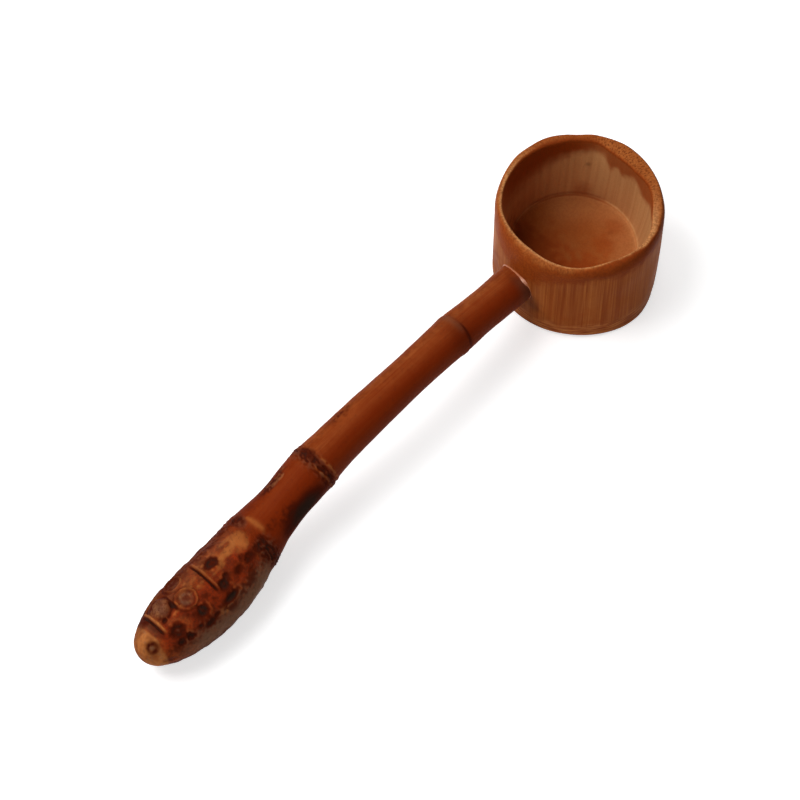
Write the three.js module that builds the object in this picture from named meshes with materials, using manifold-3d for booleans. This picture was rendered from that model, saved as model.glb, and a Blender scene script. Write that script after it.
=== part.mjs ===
// Bamboo ladle. The cup is one joint of a thick culm, with the node wall as its floor, and the handle is the
// foot of a thin culm with its trimmed root stock as the grip. A tenon on the handle is glued into a socket
// bored through the cup wall. Millimetres, +Z up, handle along +X. It stands on the cup foot and the root stock.

import * as THREE from 'three';
import { mergeVertices } from 'three/addons/utils/BufferGeometryUtils.js';
import Module from 'manifold-3d';

const { clamp, degToRad, lerp, smoothstep } = THREE.MathUtils;

// Cup
const cupRimDiameter = 66.5;
const cupFootDiameter = 66.2;
const cupHeight = 46.8;
const footEdgeRadius = 2;
const footRingWidth = 7;
const footRecess = 3;
const floorHeight = 12.5;
const floorDiameter = 51.4;
const floorShift = 2;
const floorShiftDirection = degToRad(253);
const floorCoveRadius = 2.5;
const rimTilt = 1;
const rimTiltDirection = degToRad(263);
const rimShoulderWidth = 2;
const rimShoulderHeight = 4.8;
const rimFlareDepth = 1.4;
const rimFlare = 0.4;
// Thickness of the hand-cut rim in equal steps round the cup, from the handle side, anticlockwise from above
const rimWalls = [4.5, 3.3, 4.3, 3.4, 4.6, 5.6, 7.2, 4.8, 5.6, 4.8, 2.9, 3.5];

// Socket and tenon
const socketHeight = 22.4;
const socketOffset = -3.4;
const socketRise = degToRad(8.8);
const tenonDiameter = 9;
const glueThickness = 0.45;
const fitGap = 0.25;
const lumenDiameter = 4.4;
const plugLength = 15;
const glueBeadDiameter = 1.2;

// Handle lengths, measured along the socket axis for the first joint and along X after it
const firstJointLength = 34;
const longJointLength = 79.4;
const shortJointLength = 34.5;
const rootStockLength = 63.6;
const crownDistance = 26.5;
const archDistance = 41.8;

// Height and sideways place of the handle's centre line
const archHeight = 29.6;
const secondNodeHeight = 25.5;
const thirdNodeHeight = 17.8;
const tipHeight = 13;
const restClearance = 0.32;
const archOffset = -3.5;
const secondNodeOffset = -4.35;
const thirdNodeOffset = -3.1;
const crownOffset = -0.8;
const tipOffset = -1.5;

// Handle girths
const shoulderDiameter = 15.1;
const firstNodeDiameter = 16;
const archDiameter = 15.7;
const secondNodeDiameter = 18.6;
const shortJointDiameter = 18.7;
const thirdNodeDiameter = 22.8;
const crownDiameter = 28.4;
const tipRoundness = 2.25;
const nodeRidgeHeight = 0.55;
const nodeRidgeWidth = 2.4;
const septumThickness = 4;

// Fineness of the faceted surfaces
const cupFacets = 60;
const handleFacets = 24;
const handleStep = 2.4;
const boreFacets = 28;
const beadFacets = 40;
const beadSideFacets = 8;
const arcSteps = 3;
const stretchSamples = 40;
const girthFineness = 200;
const reachPasses = 6;
const mergeDistance = 1e-4;
const overcut = 12;

const wasm = await Module();
wasm.setup();

/** A closed geometry as a solid that can be joined and cut. */
function solid(geometry) {
  const bare = geometry.clone();
  bare.deleteAttribute('normal');
  bare.deleteAttribute('uv');
  const merged = mergeVertices(bare, mergeDistance);
  const corners = merged.index.array;
  const triangles = [];
  for (let i = 0; i < corners.length; i += 3) {
    const [a, b, c] = corners.slice(i, i + 3);
    if (a !== b && b !== c && c !== a) triangles.push(a, b, c);
  }
  return new wasm.Manifold(new wasm.Mesh({
    numProp: 3,
    vertProperties: new Float32Array(merged.attributes.position.array),
    triVerts: new Uint32Array(triangles),
  }));
}

/** A finished solid as a three.js geometry. */
function geometryOf(body) {
  const mesh = body.getMesh();
  const geometry = new THREE.BufferGeometry();
  geometry.setAttribute('position', new THREE.BufferAttribute(new Float32Array(mesh.vertProperties), 3));
  geometry.setIndex(new THREE.BufferAttribute(new Uint32Array(mesh.triVerts), 1));
  geometry.computeVertexNormals();
  return geometry;
}

/** Moves every vertex of a geometry to the place that `move` gives for it. */
function reshape(geometry, move) {
  const places = geometry.attributes.position;
  const point = new THREE.Vector3();
  for (let i = 0; i < places.count; i += 1) {
    const moved = move(point.fromBufferAttribute(places, i));
    places.setXYZ(i, moved.x, moved.y, moved.z);
  }
  return geometry;
}

const rimRadius = cupRimDiameter / 2;
const footRadius = cupFootDiameter / 2;

/** Outer radius of the cup at a height, on its slight taper. */
function wallRadius(height) {
  return lerp(footRadius, rimRadius, height / cupHeight);
}

/** Height of a cup point once the rim, which isn't cut quite square, has its tilt. */
function tiltedHeight(point) {
  const across = point.x * Math.cos(rimTiltDirection) + point.y * Math.sin(rimTiltDirection);
  return point.z + (rimTilt * across * smoothstep(point.z, floorHeight, cupHeight)) / rimRadius;
}

/** The cup's outer form with no hollow, grown outwards by `growth`. */
function cupEnvelope(growth) {
  const ringInside = footRadius - footRingWidth;
  const outline = new THREE.Path();
  outline.moveTo(0, footRecess);
  outline.lineTo(ringInside - footRecess, footRecess);
  outline.lineTo(ringInside, 0);
  outline.lineTo(footRadius + growth - footEdgeRadius, 0);
  outline.absarc(footRadius + growth - footEdgeRadius, footEdgeRadius, footEdgeRadius, -Math.PI / 2, 0);
  const shoulderFoot = cupHeight - rimShoulderHeight;
  const shoulder = wallRadius(shoulderFoot) + growth;
  const shoulderTop = shoulder - rimShoulderWidth;
  outline.lineTo(shoulder, shoulderFoot);
  outline.absellipse(shoulderTop, shoulderFoot, rimShoulderWidth, rimShoulderHeight, 0, Math.PI / 2);
  outline.lineTo(0, cupHeight);
  const geometry = new THREE.LatheGeometry(outline.getPoints(arcSteps), cupFacets).rotateX(Math.PI / 2);
  return solid(reshape(geometry, (point) => point.setZ(tiltedHeight(point))));
}

/** Thickness of the rim at an angle, eased between the measured places. */
function rimWall(angle) {
  const turns = angle / (2 * Math.PI);
  const place = (turns - Math.floor(turns)) * rimWalls.length;
  const before = Math.floor(place) % rimWalls.length;
  const after = (before + 1) % rimWalls.length;
  return lerp(rimWalls[before], rimWalls[after], smoothstep(place - Math.floor(place), 0, 1));
}

/** The cup's hollow: round at the floor, uneven at the rim, and open above it. */
function cupHollow() {
  const floorRadius = floorDiameter / 2;
  const coveShare = 1 - floorCoveRadius / floorRadius;
  const flareShare = 1 + rimFlare / rimRadius;
  const outline = new THREE.Path();
  outline.moveTo(0, floorHeight);
  outline.lineTo(coveShare, floorHeight);
  outline.quadraticCurveTo(1, floorHeight, 1, floorHeight + floorCoveRadius);
  outline.lineTo(1, cupHeight - rimFlareDepth);
  outline.quadraticCurveTo(1, cupHeight - rimFlareDepth / 2, flareShare, cupHeight);
  outline.lineTo(flareShare, cupHeight + overcut);
  outline.lineTo(0, cupHeight + overcut);
  const geometry = new THREE.LatheGeometry(outline.getPoints(arcSteps), cupFacets).rotateX(Math.PI / 2);
  return solid(reshape(geometry, (point) => {
    const share = Math.hypot(point.x, point.y);
    const angle = Math.atan2(point.y, point.x);
    const rise = Math.min(1, (point.z - floorHeight) / (cupHeight - floorHeight));
    const atFloor = floorRadius + floorShift * Math.cos(angle - floorShiftDirection);
    const atRim = rimRadius - rimWall(angle) - rimFlare;
    const radius = share * lerp(atFloor, atRim, rise);
    point.set(radius * Math.cos(angle), radius * Math.sin(angle), point.z);
    return point.setZ(tiltedHeight(point));
  }));
}

// The socket axis starts where it leaves the cup wall
const jointPlace = new THREE.Vector3(
  Math.sqrt(wallRadius(socketHeight) ** 2 - socketOffset ** 2),
  socketOffset,
  socketHeight,
);
const socketAxis = new THREE.Vector3(Math.cos(socketRise), 0, Math.sin(socketRise));
const worldUp = new THREE.Vector3(0, 0, 1);

/** Directions across a line that runs along `tangent`: sideways, and square to both. */
function crossDirections(tangent) {
  const side = new THREE.Vector3().crossVectors(tangent, worldUp).normalize();
  return { side, lift: new THREE.Vector3().crossVectors(side, tangent) };
}

/** A round bar along the socket axis, from one distance past the wall to another, inwards negative. */
function socketBar(diameter, from, to) {
  const geometry = new THREE.CylinderGeometry(diameter / 2, diameter / 2, to - from, boreFacets);
  geometry.translate(0, (from + to) / 2, 0);
  const { side, lift } = crossDirections(socketAxis);
  geometry.applyMatrix4(new THREE.Matrix4().makeBasis(side, socketAxis, lift).setPosition(jointPlace));
  return solid(geometry);
}

const filmInnerDiameter = tenonDiameter + 2 * fitGap;
const filmOuterDiameter = filmInnerDiameter + 2 * glueThickness;
const socketDiameter = filmOuterDiameter + 2 * fitGap;
const socketDepth = Math.max(...rimWalls) + overcut;

// Centre line of the handle past the wall, through its nodes
const firstNode = jointPlace.clone().addScaledVector(socketAxis, firstJointLength);
const secondNodeX = firstNode.x + longJointLength;
const thirdNodeX = secondNodeX + shortJointLength;
const crownHeight = crownDiameter / 2 + restClearance;
const centreLine = new THREE.CatmullRomCurve3([
  jointPlace,
  firstNode,
  new THREE.Vector3(firstNode.x + archDistance, archOffset, archHeight),
  new THREE.Vector3(secondNodeX, secondNodeOffset, secondNodeHeight),
  new THREE.Vector3(thirdNodeX, thirdNodeOffset, thirdNodeHeight),
  new THREE.Vector3(thirdNodeX + crownDistance, crownOffset, crownHeight),
  new THREE.Vector3(thirdNodeX + rootStockLength, tipOffset, tipHeight),
], false, 'centripetal');
centreLine.arcLengthDivisions = stretchSamples * (centreLine.points.length - 1);
const lengths = centreLine.getLengths();
const [, firstNodeAt, archAt, secondNodeAt, thirdNodeAt, crownAt, tipAt] = centreLine.points.map(
  (point, index) => lengths[index * stretchSamples],
);

// Girth of the handle from the wall to the crown of the root stock
const girth = new THREE.SplineCurve([
  new THREE.Vector2(0, shoulderDiameter),
  new THREE.Vector2(firstNodeAt, firstNodeDiameter),
  new THREE.Vector2(archAt, archDiameter),
  new THREE.Vector2(secondNodeAt, secondNodeDiameter),
  new THREE.Vector2((secondNodeAt + thirdNodeAt) / 2, shortJointDiameter),
  new THREE.Vector2(thirdNodeAt, thirdNodeDiameter),
  new THREE.Vector2(crownAt, crownDiameter),
]);
const girthSamples = girth.getPoints(girthFineness);

/** Radius of the handle at a distance past the wall, with a ridge at each node and a rounded tip. */
function handleRadius(distance) {
  if (distance > crownAt) {
    const share = Math.min(1, (distance - crownAt) / (tipAt - crownAt));
    return (crownDiameter / 2) * (1 - share ** tipRoundness) ** (1 / tipRoundness);
  }
  const after = Math.max(1, girthSamples.findIndex((sample) => sample.x >= distance));
  const [a, b] = [girthSamples[after - 1], girthSamples[after]];
  const diameter = lerp(a.y, b.y, (distance - a.x) / (b.x - a.x));
  const ridges = [firstNodeAt, secondNodeAt, thirdNodeAt].map(
    (node) => nodeRidgeHeight * Math.exp(-(((distance - node) / nodeRidgeWidth) ** 2)),
  );
  return diameter / 2 + ridges.reduce((sum, ridge) => sum + ridge, 0);
}

/** The culm foot, turned straight, then bent along its centre line. It starts inside the cup wall. */
function handleBlank() {
  const outline = [new THREE.Vector2(0, -overcut / 2), new THREE.Vector2(shoulderDiameter / 2, -overcut / 2)];
  const steps = Math.round(tipAt / handleStep);
  for (let step = 0; step < steps; step += 1) {
    const distance = (tipAt * step) / steps;
    outline.push(new THREE.Vector2(handleRadius(distance), distance));
  }
  outline.push(new THREE.Vector2(0, tipAt));
  const geometry = new THREE.LatheGeometry(outline, handleFacets);
  return solid(reshape(geometry, (point) => {
    const along = clamp(point.y / tipAt, 0, 1);
    const tangent = centreLine.getTangentAt(along);
    const { side, lift } = crossDirections(tangent);
    const centre = centreLine.getPointAt(along).addScaledVector(tangent, Math.min(0, point.y));
    return point.copy(centre.addScaledVector(side, point.x).addScaledVector(lift, point.z));
  }));
}

const hollow = cupHollow();

/** Cup: the culm joint, hollowed down to its node wall, with the handle's socket through the wall. */
function cup() {
  const socket = socketBar(socketDiameter, -socketDepth, overcut);
  return cupEnvelope(0).subtract(hollow).subtract(socket);
}

/** Handle: coped to the cup wall, with a tenon cut flush inside and the first joint's narrow lumen open. */
function handle() {
  const tenon = socketBar(tenonDiameter, -socketDepth, overcut / 2);
  const lumen = socketBar(lumenDiameter, -socketDepth, firstJointLength - septumThickness);
  return handleBlank().subtract(cupEnvelope(fitGap)).add(tenon).subtract(hollow).subtract(lumen);
}

/** Plug: a bamboo peg that shuts the lumen where it opens into the cup. */
function tenonPlug() {
  const innerEnd = -Math.max(...rimWalls) - overcut / 2;
  const peg = socketBar(lumenDiameter - 2 * fitGap, innerEnd, plugLength - Math.max(...rimWalls));
  return peg.subtract(hollow);
}

/** Glue film: the sleeve of cured glue between the tenon and the socket. */
function glueFilm() {
  const sleeve = socketBar(filmOuterDiameter, -socketDepth, overcut)
    .subtract(socketBar(filmInnerDiameter, -socketDepth - 1, overcut + 1));
  return sleeve.intersect(cupEnvelope(0)).subtract(hollow);
}

/** Distance along the socket axis from its start to the cup wall, for a line beside the axis. */
function wallReach(sideways, upwards) {
  const { side, lift } = crossDirections(socketAxis);
  const start = jointPlace.clone().addScaledVector(side, sideways).addScaledVector(lift, upwards);
  let reach = 0;
  for (let pass = 0; pass < reachPasses; pass += 1) {
    const point = start.clone().addScaledVector(socketAxis, reach);
    const wallX = Math.sqrt(wallRadius(point.z) ** 2 - point.y ** 2);
    reach += (wallX - point.x) / socketAxis.x;
  }
  return reach;
}

/** Glue bead: the squeezed-out ring in the corner between the handle and the cup wall. */
function glueBead() {
  const beadRadius = glueBeadDiameter / 2;
  const ringRadius = handleRadius(beadRadius) + fitGap + beadRadius;
  const geometry = new THREE.TorusGeometry(ringRadius, beadRadius, beadSideFacets, beadFacets);
  const { side, lift } = crossDirections(socketAxis);
  return solid(reshape(geometry, (point) => {
    const around = Math.atan2(point.y, point.x);
    const reach = wallReach(ringRadius * Math.sin(around), ringRadius * Math.cos(around));
    const outwards = point.z + reach + fitGap + beadRadius;
    const place = jointPlace.clone().addScaledVector(lift, point.x).addScaledVector(side, point.y);
    return point.copy(place.addScaledVector(socketAxis, outwards));
  }));
}

/** A named piece of the ladle in its material. */
function piece(name, body, color, roughness) {
  const material = new THREE.MeshStandardMaterial({ color, roughness, metalness: 0 });
  const mesh = new THREE.Mesh(geometryOf(body), material);
  mesh.name = name;
  return mesh;
}

const ladle = new THREE.Group();
ladle.add(
  piece('cup', cup(), 0x8a4a1c, 0.55),
  piece('handle', handle(), 0x7a2f0c, 0.35),
  piece('tenon_plug', tenonPlug(), 0x9a6a3a, 0.6),
  piece('glue_film', glueFilm(), 0xc98a5c, 0.4),
  piece('glue_bead', glueBead(), 0xd09a78, 0.35),
);

// The origin lies on the table, under the middle of the ladle
const middle = new THREE.Box3().setFromObject(ladle).getCenter(new THREE.Vector3());
ladle.position.set(-middle.x, -middle.y, 0);

export default ladle;
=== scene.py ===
import math

import bmesh
import bpy
import numpy as np
from mathutils import Matrix, Vector, noise


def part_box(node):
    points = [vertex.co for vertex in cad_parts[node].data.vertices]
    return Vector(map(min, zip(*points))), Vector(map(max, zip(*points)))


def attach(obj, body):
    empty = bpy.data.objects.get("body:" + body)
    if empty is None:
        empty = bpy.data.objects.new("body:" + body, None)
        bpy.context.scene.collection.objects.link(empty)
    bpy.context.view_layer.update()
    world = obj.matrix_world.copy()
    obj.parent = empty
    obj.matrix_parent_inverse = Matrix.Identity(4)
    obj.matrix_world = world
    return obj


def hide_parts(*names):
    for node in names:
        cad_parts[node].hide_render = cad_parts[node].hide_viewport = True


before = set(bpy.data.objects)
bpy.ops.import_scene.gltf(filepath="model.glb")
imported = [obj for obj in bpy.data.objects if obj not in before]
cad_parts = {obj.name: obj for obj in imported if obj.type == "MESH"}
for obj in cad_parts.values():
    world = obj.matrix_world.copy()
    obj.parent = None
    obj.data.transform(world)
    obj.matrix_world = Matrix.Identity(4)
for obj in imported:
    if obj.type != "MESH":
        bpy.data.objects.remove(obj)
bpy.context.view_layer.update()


# The cup is one joint of a thick bamboo culm, and the wall of its node is the cup's floor. It is cut by hand,
# rubbed smooth and lacquered, so the rim's width and rounding change round the cup and the foot isn't quite
# round. A round socket is bored through the wall for the handle.
MILLIMETRE = 0.001
cup_low, cup_high = (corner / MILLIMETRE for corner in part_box("cup"))
cup_centre = np.array([(cup_low.x + cup_high.x) / 2, 0, 0])
cup_steps = 240
rim_radius = (cup_high.y - cup_low.y) / 2
foot_radius = rim_radius - 0.15
cup_height = 46.8
rim_tilt = 1.0
rim_tilt_direction = math.radians(263)
floor_height = 12.5
floor_radius = 25.7
floor_cove = 1.4
floor_dish = 0.5
floor_shift = 2 * np.array([math.cos(math.radians(253)), math.sin(math.radians(253))])
inner_edge_rounding = 0.8
rim_lumps = 0.16


def around(*places, passes=10):
    """A value for each step round the cup, eased between (degrees from the handle, value) places."""
    degrees, values = zip(*places)
    eased = np.interp(np.arange(cup_steps) * 360 / cup_steps, degrees, values, period=360)
    for _ in range(passes):
        eased = (np.roll(eased, 1) + 2 * eased + np.roll(eased, -1)) / 4
    return eased


rim_inside = around(
    (0, 29.1), (15, 29.7), (33, 30.2), (45, 29.7), (60, 28.7), (75, 29.0), (95, 30.1), (108, 29.5),
    (122, 28.1), (150, 27.8), (164, 26.2), (181, 25.7), (196, 26.8), (207, 28.8), (224, 28.6), (240, 28.4),
    (262, 29.1), (283, 29.8), (305, 30.3), (318, 30.7), (340, 29.8),
)
rim_outline = around(
    (0, 0), (115, 0), (130, -0.5), (140, -0.7), (152, -0.6), (166, -0.4), (190, 0.1), (210, -0.5),
    (223, -1.5), (241, -0.5), (265, -0.5), (289, -0.6), (312, 0), passes=4,
)
shoulder_height = around(
    (0, 7.5), (30, 4.5), (50, 2.8), (75, 5), (95, 4.6), (120, 3.2), (165, 2), (250, 1.8), (300, 4), (322, 8),
    (340, 8),
)
shoulder_share = around((0, 0.85), (60, 0.8), (95, 0.6), (120, 0.45), (165, 0.2), (250, 0.25), (310, 0.7))
foot_rounding = around((0, 3), (34, 3.6), (55, 2.5), (77, 0.8), (98, 1.1), (118, 1.4), (140, 2.4), (300, 2.6))
foot_outline = around(
    (0, 0), (42, 0.1), (58, 0.3), (74, 0.6), (90, 0.8), (97, 0.4), (103, 0), (112, -0.7), (130, -0.65),
    (150, -0.2), (170, 0), (340, 0), passes=4,
)


def wall_radius(height):
    """Outer radius of the cup's wall at a height."""
    return foot_radius + (rim_radius - foot_radius) * height / cup_height


def rise_at(height):
    """How far up the hollow a height is: 0 at the floor and 1 at the rim."""
    return np.clip((height - floor_height) / (cup_height - floor_height), 0, 1)


def hollow_radius(step, height):
    """Radius of the hollow at a step round the cup, from a middle that drifts towards the floor's."""
    return floor_radius + (rim_inside[step] - floor_radius) * rise_at(height)


def cup_section(path, step):
    """Radius and height along the section: underside 0-1, outside 1-2, rim 2-3, inside 3-4, floor 4-5."""
    zone = np.minimum(path.astype(int), 4)
    share = path - zone
    edge = foot_rounding[step]
    foot = foot_radius + foot_outline[step] - edge
    under = foot * np.interp(share, (0, 0.7, 0.76, 0.84, 0.9, 1), (0, 0.78, 0.82, 0.845, 0.88, 1))
    under_height = np.interp(share, (0, 0.7, 0.76, 0.84, 0.9), (2.6, 3, 2.6, 0.4, 0))

    turn = np.clip(share / 0.2, 0, 1) * math.pi / 2
    climb = np.clip((share - 0.2) / 0.8, 0, 1)
    shoulder_foot = cup_height - shoulder_height[step]
    outside_height = edge * (1 - np.cos(turn)) + climb * (shoulder_foot - edge)
    outline = rim_outline[step] * (outside_height / cup_height) ** 2
    outline += foot_outline[step] * (1 - outside_height / cup_height) ** 3
    outside = wall_radius(outside_height) + outline - edge * (1 - np.sin(turn))

    outer = wall_radius(cup_height) + rim_outline[step]
    width = outer - rim_inside[step] - inner_edge_rounding
    shoulder = width * shoulder_share[step]
    over = np.clip(share / 0.6, 0, 1) * math.pi / 2
    flat = np.clip((share - 0.6) / 0.22, 0, 1)
    dip = np.clip((share - 0.82) / 0.18, 0, 1) * math.pi / 2
    foot_offset = rim_outline[step] * ((shoulder_foot / cup_height) ** 2 - 1)
    rim = outer - shoulder * (1 - np.cos(over)) - flat * (width - shoulder)
    rim += foot_offset * np.cos(over) - inner_edge_rounding * np.sin(dip)
    rim_height = shoulder_foot + shoulder_height[step] * np.sin(over)
    rim_height -= inner_edge_rounding * (1 - np.cos(dip))

    inside_top = cup_height - inner_edge_rounding
    inside_height = inside_top + share * (floor_height + floor_cove - inside_top)
    inside = hollow_radius(step, inside_height)

    bend = np.clip(share / 0.3, 0, 1) * math.pi / 2
    reach = 1 - np.clip((share - 0.3) / 0.7, 0, 1)
    bottom = (hollow_radius(step, floor_height) - floor_cove) * reach + floor_cove * np.cos(bend)
    bottom_height = floor_height + floor_cove * (1 - np.sin(bend)) - floor_dish * (1 - reach ** 2)

    radius = np.choose(zone, (under, outside, rim, inside, bottom))
    height = np.choose(zone, (under_height, outside_height, rim_height, inside_height, bottom_height))
    return radius, height


def cup_place(path, step):
    """Place of a surface point: the floor's middle is off the axis and the rim slightly out of square."""
    radius, height = cup_section(path, step)
    angle = step * 2 * math.pi / cup_steps
    rise = rise_at(height)
    drift = np.where(path > 3, 1 - rise, 0) * np.where(path > 4, 1, np.clip(path - 3, 0, 1))
    across = radius * np.cos(angle) + drift * floor_shift[0]
    aside = radius * np.sin(angle) + drift * floor_shift[1]
    lean = across * math.cos(rim_tilt_direction) + aside * math.sin(rim_tilt_direction)
    tilt = rim_tilt * lean / rim_radius * rise ** 2 * (3 - 2 * rise)
    return np.stack([across, aside, height + tilt], axis=1)


def positions(mesh):
    """The places of a mesh's vertices."""
    return np.array([vert.co for vert in mesh.verts])


def move_to(mesh, places):
    """Moves a mesh's vertices."""
    for vert, place in zip(mesh.verts, places):
        vert.co = place


def lumps(places, size):
    """Smooth unevenness at each place, between about -1 and 1, with features of about that size."""
    return np.array([noise.noise(Vector(place) / size) for place in places])


def smooth(value, low, high):
    """0 at low and 1 at high, eased between."""
    share = np.clip((value - low) / (high - low), 0, 1)
    return share * share * (3 - 2 * share)


def arc(turns, first, last, softness=10.0):
    """1 between two turns round a piece, in degrees, and 0 elsewhere."""
    off_middle = np.abs((turns - (first + last) / 2 + 180) % 360 - 180)
    half = (last - first) / 2
    return smooth(off_middle, half + softness / 2, half - softness / 2)


def shade(mask, amount):
    """Lays an amount over a mask."""
    mask += (1 - mask) * np.clip(amount, 0, 1)


def spun(outline, marks, axis, steps, layer):
    """A surface lathed about an axis through the origin, with each outline point's mark in a layer."""
    mesh = bmesh.new()
    mark_layer = mesh.verts.layers.float.new(layer)
    line = []
    for point, mark in zip(outline, marks):
        line.append(mesh.verts.new(point))
        line[-1][mark_layer] = mark
    edges = [mesh.edges.new(pair) for pair in zip(line, line[1:])]
    bmesh.ops.spin(
        mesh, geom=line + edges, cent=(0, 0, 0), axis=axis, angle=2 * math.pi, steps=steps, use_merge=True
    )
    bmesh.ops.remove_doubles(mesh, verts=mesh.verts, dist=1e-4)
    bmesh.ops.recalc_face_normals(mesh, faces=mesh.faces)
    return mesh, np.array([vert[mark_layer] for vert in mesh.verts])


def keep_masks(mesh, masks):
    """Stores named masks on a mesh's vertices for its material."""
    for name, mask in masks.items():
        layer = mesh.verts.layers.float.new(name)
        for vert, amount in zip(mesh.verts, mask):
            vert[layer] = amount


def keep_places(mesh, places):
    """Stores on a mesh's vertices the places that its fibres follow, with the fibres along Z."""
    layer = mesh.verts.layers.float_vector.new("culm_place")
    for vert, place in zip(mesh.verts, places):
        vert[layer] = Vector(place) * MILLIMETRE


def finished(name, mesh, material, smooth_to=math.radians(50)):
    """Puts a mesh, made in millimetres on the cup's axis, into the scene as a piece in metres."""
    bmesh.ops.translate(mesh, verts=mesh.verts, vec=Vector(cup_centre))
    bmesh.ops.scale(mesh, verts=mesh.verts, vec=(MILLIMETRE,) * 3)
    data = bpy.data.meshes.new(name)
    mesh.to_mesh(data)
    mesh.free()
    data.materials.append(material)
    piece = bpy.data.objects.new(name, data)
    bpy.context.scene.collection.objects.link(piece)
    data.shade_smooth()
    data.set_sharp_from_angle(angle=smooth_to)
    return piece


def hand_over(piece, node):
    """Makes a piece ride on the ladle in place of a solid, which it hides."""
    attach(piece, "root")
    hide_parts(node)


def connect(tree, node, inputs):
    """Sets or links a shader node's inputs."""
    for name, value in inputs.items():
        if isinstance(value, bpy.types.NodeSocket):
            tree.links.new(value, node.inputs[name])
        else:
            node.inputs[name].default_value = value


def add_node(tree, kind, inputs=None, **settings):
    """Adds a shader node with its settings and inputs."""
    made = tree.nodes.new("ShaderNode" + kind)
    for name, value in settings.items():
        setattr(made, name, value)
    connect(tree, made, inputs or {})
    return made


def sums(tree, operation, first, second=0.0):
    """The result of one sum on values."""
    return add_node(tree, "Math", {0: first, 1: second}, operation=operation).outputs[0]


def ease(tree, value, low, high, least=0.0, most=1.0):
    """A value eased from least, at low, to most, at high."""
    spans = {"Value": value, "From Min": low, "From Max": high, "To Min": least, "To Max": most}
    return add_node(tree, "MapRange", spans, interpolation_type="SMOOTHSTEP").outputs[0]


def layered(tree, base, *layers):
    """A base colour with layers over it: each is a colour, its amount and any strengths to scale that by."""
    for colour, amount, *strengths in layers:
        for strength in strengths:
            amount = sums(tree, "MULTIPLY", amount, strength)
        base = add_node(tree, "Mix", {0: amount, 6: base, 7: colour}, data_type="RGBA").outputs[2]
    return base


def clouds(tree, place, size, detail=3.0):
    """A cloudy value about 0.5, with features of that size in metres."""
    return add_node(tree, "TexNoise", {"Vector": place, "Scale": 1 / size, "Detail": detail}).outputs[0]


def stretched(tree, place, across, along):
    """A place scaled so that a unit pattern is that wide across the fibres and that long along them."""
    scale = (1 / across, 1 / across, 1 / along)
    return add_node(tree, "VectorMath", {0: place, 1: scale}, operation="MULTIPLY").outputs[0]


def attribute(tree, name, output="Fac"):
    """A value stored on the piece's vertices."""
    return add_node(tree, "Attribute", attribute_name=name).outputs[output]


def paint(red, green, blue):
    """A colour from its display values, 0 to 255."""
    shares = (value / 255 for value in (red, green, blue))
    return tuple(s / 12.92 if s <= 0.04045 else ((s + 0.055) / 1.055) ** 2.4 for s in shares) + (1.0,)


def new_group(name, outputs):
    """A shader node group with named value outputs, its one input, a place, and its output node."""
    group = bpy.data.node_groups.new(name, "ShaderNodeTree")
    group.interface.new_socket("Place", in_out="INPUT", socket_type="NodeSocketVector")
    for label in outputs:
        group.interface.new_socket(label, in_out="OUTPUT", socket_type="NodeSocketFloat")
    return group, group.nodes.new("NodeGroupInput").outputs[0], group.nodes.new("NodeGroupOutput")


def use_group(tree, group, place):
    """A node group's outputs, with its place linked."""
    return add_node(tree, "Group", {"Place": place}, node_tree=group).outputs


def new_material(name):
    """A material, its node tree and its shader."""
    material = bpy.data.materials.new(name)
    material.use_nodes = True
    return material, material.node_tree, material.node_tree.nodes["Principled BSDF"]


# Bamboo's fibres show as streaks on the culm's sides and as dots where it is cut across.
fibres, fibres_place, fibres_out = new_group("culm_fibres", ("Streaks", "Threads", "Lines", "Dots"))
broad_streaks, fine_threads, line_streaks = (
    clouds(fibres, stretched(fibres, fibres_place, across, along), 1.0, 2.0)
    for across, along in ((0.0026, 0.09), (0.0008, 0.04), (0.003, 0.4))
)
line_gap = sums(fibres, "ABSOLUTE", sums(fibres, "SUBTRACT", line_streaks, 0.5))
bundle_place = stretched(fibres, fibres_place, 0.0008, 0.0015)
bundles = add_node(fibres, "TexVoronoi", {"Vector": bundle_place, "Scale": 1.0, "Randomness": 0.9})
connect(fibres, fibres_out, {
    "Streaks": ease(fibres, broad_streaks, 0.32, 0.68), "Threads": ease(fibres, fine_threads, 0.34, 0.66),
    "Lines": ease(fibres, line_gap, 0.035, 0.0), "Dots": ease(fibres, bundles.outputs["Distance"], 0.5, 0.2),
})

# Old lacquer has soft light and dark clouds, mottling, specks of dirt and a fine grit.
lacquer, lacquer_place, lacquer_out = new_group("old_lacquer", ("Clouds", "Mottles", "Specks", "Grit"))
for label, size, detail, low, high in (
    ("Clouds", 0.016, 4.0, 0.3, 0.7), ("Mottles", 0.0035, 3.0, 0.35, 0.65),
    ("Specks", 0.0014, 2.0, 0.58, 0.72), ("Grit", 0.0008, 1.0, 0.4, 0.62),
):
    cloudy = clouds(lacquer, lacquer_place, size, detail)
    connect(lacquer, lacquer_out, {label: ease(lacquer, cloudy, low, high)})

path_stops = ((0, 14), (1, 8), (1.2, 40), (2, 30), (3, 40), (4, 10), (4.3, 23), (5, 0))
cup_paths = np.concatenate([
    np.linspace(start, end, rows, endpoint=False)
    for (start, rows), (end, _) in zip(path_stops, path_stops[1:])
] + [[5]])
section_radius, section_height = cup_section(cup_paths, np.zeros(len(cup_paths), int))
cup_outline = [(radius, 0, height) for radius, height in zip(section_radius, section_height)]
cup_mesh, cup_path = spun(cup_outline, cup_paths, (0, 0, 1), cup_steps, "section")
lathed = positions(cup_mesh)
cup_step = np.rint(np.arctan2(lathed[:, 1], lathed[:, 0]) * cup_steps / (2 * math.pi)).astype(int) % cup_steps
cup_places = cup_place(cup_path, cup_step)
cup_turn = cup_step * 360 / cup_steps
cup_ragged = lumps(cup_places, 3.0)
rim_share = np.clip(np.minimum(cup_path - 1.6, 3.5 - cup_path) / 0.4, 0, 1)
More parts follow.
